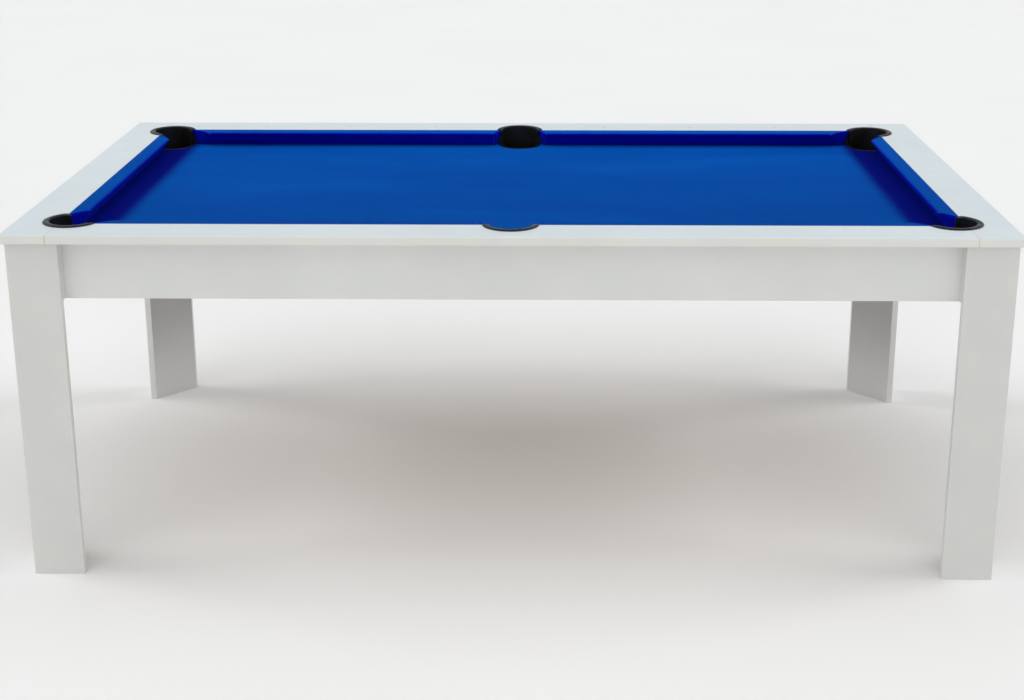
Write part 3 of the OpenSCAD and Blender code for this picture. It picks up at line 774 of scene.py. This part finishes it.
def pan_screw(shank_l):
    """A pan-head screw that points up Z, with a cross recess in its head."""
    slot_half_w, slot_r = 0.0004, 0.0023
    slot_rim, slot_floor = -0.002, -0.0010
    thread = []
    turns = 7
    for k in range(turns * 2 + 1):
        r = 0.0019 if k % 2 else 0.0014
        thread.append((r, shank_l * (0.12 + 0.8 * k / (turns * 2))))
    shank = revolve([(0.0, 0.0), (0.0016, 0.0)] + thread + [(0.0, shank_l)], 12)
    count = 48
    rows = [(0.0037, 0.0), (0.0038, -0.0008), (0.0036, -0.0017), (0.0030, -0.0023), (0.0021, -0.0025),
            (0.0014, -0.0025), (0.0007, -0.0025)]
    verts = []
    for r, z in rows:
        for p in circle(r, z, count):
            in_cross = min(abs(p.x), abs(p.y)) < slot_half_w and max(abs(p.x), abs(p.y)) < slot_r
            if in_cross and z < slot_rim:
                p.z = slot_floor
            verts.append(p)
    verts.append(Vector((0, 0, slot_floor)))
    verts.append(Vector((0, 0, 0)))
    faces = tube_faces(len(rows), count)
    last = (len(rows) - 1) * count
    for i in range(count):
        j = (i + 1) % count
        faces.append((last + i, last + j, len(verts) - 2))
        faces.append((j, i, len(verts) - 1))
    return joined([shank, (verts, faces)])


def towards(direction, at):
    """Matrix that turns +Z to a direction and moves the origin to a point."""
    turn = Vector(direction).to_track_quat("Z", "Y").to_matrix().to_4x4()
    return Matrix.Translation(at) @ turn


def add_hardware(node, parts):
    """One zinc-plated piece that replaces a node of fasteners."""
    obj = outward(piece(node + "_detailed", *joined(parts), "table", zinc, "zinc_steel"))
    sharp_by_angle(obj, 32)
    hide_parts(node)


def make_rail_bolts():
    """Bolts up through the ledges, which clamp ledge, bed and subrail to the rails."""
    bolt_x = (0.110, 0.460, 0.850)
    bolt_y = (0.110, 0.330)
    half_ledge = 0.0125
    rail_bolt = hex_flange_bolt(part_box("rail_bolts")[1].z - ledge_bottom)
    spots = [(sx * x, sy * (inner_y - half_ledge)) for sx, sy in QUARTERS for x in bolt_x]
    spots += [(sx * (inner_x - half_ledge), sy * y) for sx, sy in QUARTERS for y in bolt_y]
    add_hardware("rail_bolts", [shifted(rail_bolt, x, y, ledge_bottom) for x, y in spots])


def make_leg_bolts():
    """Two bolts out through each apron's end into each board of a leg."""
    leg_in = 0.090
    leg_x, leg_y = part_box("back_right_leg_face")[1].xy
    levels = [apron_bottom + rise for rise in (0.020, 0.054)]
    leg_bolt = hex_flange_bolt(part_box("leg_bolts")[1].x - inner_x)
    bolts = []
    for sx, sy in QUARTERS:
        for z in levels:
            bolts.append(placed(leg_bolt, towards((0, sy, 0), (sx * (leg_x - leg_in), sy * inner_y, z))))
            bolts.append(placed(leg_bolt, towards((sx, 0, 0), (sx * inner_x, sy * (leg_y - leg_in), z))))
    add_hardware("leg_bolts", bolts)


def make_pocket_screws():
    """Screws up through the two tabs of each pocket, which lie under the bed."""
    corner_tabs = (190, 260)
    side_tabs = (235, 305)
    tab_bottom = bed_bottom - 0.004
    reach = shell_r + 0.012
    screw = pan_screw(screw_l)
    screws = []
    for sx, sy in QUARTERS:
        for a in corner_tabs:
            turn = math.radians(a)
            x = sx * (corner_x + reach * math.cos(turn))
            y = sy * (corner_y + reach * math.sin(turn))
            screws.append(shifted(screw, x, y, tab_bottom))
    for s in (-1, 1):
        for a in side_tabs:
            turn = math.radians(a)
            x = reach * math.cos(turn)
            y = s * (side_y + reach * math.sin(turn))
            screws.append(shifted(screw, x, y, tab_bottom))
    add_hardware("pocket_screws", screws)


def make_bracket_screws():
    """Two screws through each angle bracket at the cabinet's corners and the beams' ends."""
    screw = pan_screw(screw_l)
    bracket_t = 0.0025
    half_beam = 0.009
    beam_x = (0.230, 0.690)
    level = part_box("angle_brackets")[0].z + 0.020
    out = 0.018
    brackets = [(inner_x, -1)] + [(x + half_beam, 1) for x in beam_x]
    screws = []
    for sx, sy in QUARTERS:
        for x, way in brackets:
            at = (sx * (x + way * out), sy * (inner_y - bracket_t), level)
            screws.append(placed(screw, towards((0, sy, 0), at)))
            at = (sx * (x + way * bracket_t), sy * (inner_y - out), level)
            screws.append(placed(screw, towards((-sx * way, 0, 0), at)))
    add_hardware("bracket_screws", screws)


make_rail_bolts()
make_leg_bolts()
make_pocket_screws()
make_bracket_screws()


# ---- Levelling feet ----

def threaded_rod(z0, z1, radius, pitch, depth):
    """A right-handed thread with a chamfered tip at each end."""
    around = 24
    per_turn = 6
    tip_l = 0.0016
    rows = round((z1 - z0) / pitch * per_turn)
    verts = []
    for k in range(rows + 1):
        z = z0 + (z1 - z0) * k / rows
        tip = min(1.0, min(z - z0, z1 - z) / tip_l)
        for i in range(around):
            phase = (k / per_turn - i / around) % 1.0
            groove = depth * abs(2 * phase - 1)
            r = radius - max(groove, (1 - tip) * depth)
            a = 2 * math.pi * i / around
            verts.append(Vector((r * math.cos(a), r * math.sin(a), z)))
    faces = tube_faces(rows + 1, around)
    faces.append(tuple(range(around - 1, -1, -1)))
    faces.append(tuple(range(rows * around, (rows + 1) * around)))
    return verts, faces


def hex_collar(z0, z1, radius):
    """A hexagon with chamfered corners, top and bottom."""
    chamfer = 0.0006
    levels = ((z0, 0.92), (z0 + chamfer, 1.0), (z1 - chamfer, 1.0), (z1, 0.92))
    verts = []
    for z, share in levels:
        verts.extend(circle(share * radius, z, 6))
    faces = tube_faces(len(levels), 6)
    faces += [tuple(range(5, -1, -1)), tuple(range(18, 24))]
    return verts, faces


def make_feet():
    """Each foot's M8 stud with the hexagon collar that turns it."""
    stud_r, pitch, thread_d = 0.004, 0.00125, 0.0006
    collar_r, collar_h, collar_gap = 0.0075, 0.005, 0.0003
    for sx, sy in QUARTERS:
        corner = corner_name(sx, sy)
        node = corner + "_foot_stud"
        low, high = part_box(node)
        x, y = (low.x + high.x) / 2, (low.y + high.y) / 2
        rod = threaded_rod(low.z, high.z, stud_r, pitch, thread_d)
        collar_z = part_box(corner + "_foot_pad")[1].z + collar_gap
        collar = hex_collar(collar_z, collar_z + collar_h, collar_r)
        parts = [shifted(part, x, y, 0) for part in (rod, collar)]
        obj = outward(piece(corner + "_threaded_stud", *joined(parts), corner + "_stud", zinc, "zinc_steel"))
        sharp_by_angle(obj, 35)
        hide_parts(node)


make_feet()


# ---- Floor, light and camera ----

def make_stage():
    """A plain pale floor that curves up into a low wall far away."""
    flat_r, bend_r, wall_top = 24.0, 7.0, 12.0
    bend = [(flat_r + bend_r * math.sin(math.radians(a)), bend_r * (1 - math.cos(math.radians(a))))
            for a in range(0, 91, 5)]
    verts, faces = revolve([(0.0, 0.0)] + bend + [(flat_r + bend_r, wall_top)], 96)
    mesh = bpy.data.meshes.new("floor")
    mesh.from_pydata(verts, [], [face[::-1] for face in faces])
    mesh.update()
    for polygon in mesh.polygons:
        polygon.use_smooth = True
    floor = bpy.data.objects.new("floor", mesh)
    bpy.context.scene.collection.objects.link(floor)
    m = Finish("floor", roughness=0.9, Specular_IOR_Level=0.1)
    m.colour(m.ramp(m.noise(0.8, 2.0), (0.3, (0.93, 0.93, 0.93)), (0.7, (0.95, 0.95, 0.95))))
    mesh.materials.append(m.bump((m.noise(60, 2.0), 0.02, 0.0005)))


def soft_sun(name, azimuth, elevation, spread, strength):
    """A wide, even, slightly warm light from a direction; azimuth 0 is behind the table, 90 its right end."""
    data = bpy.data.lights.new(name, "SUN")
    data.angle = math.radians(spread)
    data.energy = strength
    data.color = (1.0, 0.995, 0.98)
    light = bpy.data.objects.new(name, data)
    a, e = math.radians(azimuth), math.radians(elevation)
    source = Vector((math.sin(a) * math.cos(e), math.cos(a) * math.cos(e), math.sin(e)))
    light.location = 4 * source
    light.rotation_euler = source.to_track_quat("Z", "Y").to_euler()
    bpy.context.scene.collection.objects.link(light)


def make_light():
    """Three wide lights and a weak, slightly cool sky."""
    world = bpy.data.worlds.new("studio")
    world.use_nodes = True
    background = world.node_tree.nodes["Background"]
    background.inputs["Color"].default_value = (0.955, 0.98, 1.0, 1)
    background.inputs["Strength"].default_value = 0.38
    bpy.context.scene.world = world
    soft_sun("front_softbox", azimuth=190, elevation=55, spread=60, strength=0.77)
    soft_sun("left_softbox", azimuth=275, elevation=34, spread=34, strength=0.95)
    soft_sun("right_softbox", azimuth=85, elevation=34, spread=34, strength=0.95)


def make_camera():
    """The viewpoint: in front of the table, a little right of its middle and above its top."""
    viewpoint = (0.083824, -3.777724, 1.652242)
    yaw, pitch, roll = -0.0177, 0.2853, -0.0016
    lens_mm, sensor_mm = 56.1505, 36
    forward = Vector((math.sin(yaw) * math.cos(pitch), math.cos(yaw) * math.cos(pitch), -math.sin(pitch)))
    right = Vector((math.cos(yaw), -math.sin(yaw), 0))
    up = right.cross(forward)
    x_axis = math.cos(roll) * right + math.sin(roll) * up
    y_axis = -math.sin(roll) * right + math.cos(roll) * up
    data = bpy.data.cameras.new("camera")
    data.sensor_fit = "HORIZONTAL"
    data.sensor_width = sensor_mm
    data.lens = lens_mm
    data.shift_x = -0.0107
    data.shift_y = -0.0830
    data.clip_end = 100
    camera = bpy.data.objects.new("camera", data)
    axes = Matrix((x_axis, y_axis, -forward)).transposed()
    camera.matrix_world = Matrix.Translation(viewpoint) @ axes.to_4x4()
    bpy.context.scene.collection.objects.link(camera)
    bpy.context.scene.camera = camera


make_stage()
make_light()
make_camera()
bpy.context.scene.view_settings.view_transform = "Standard"
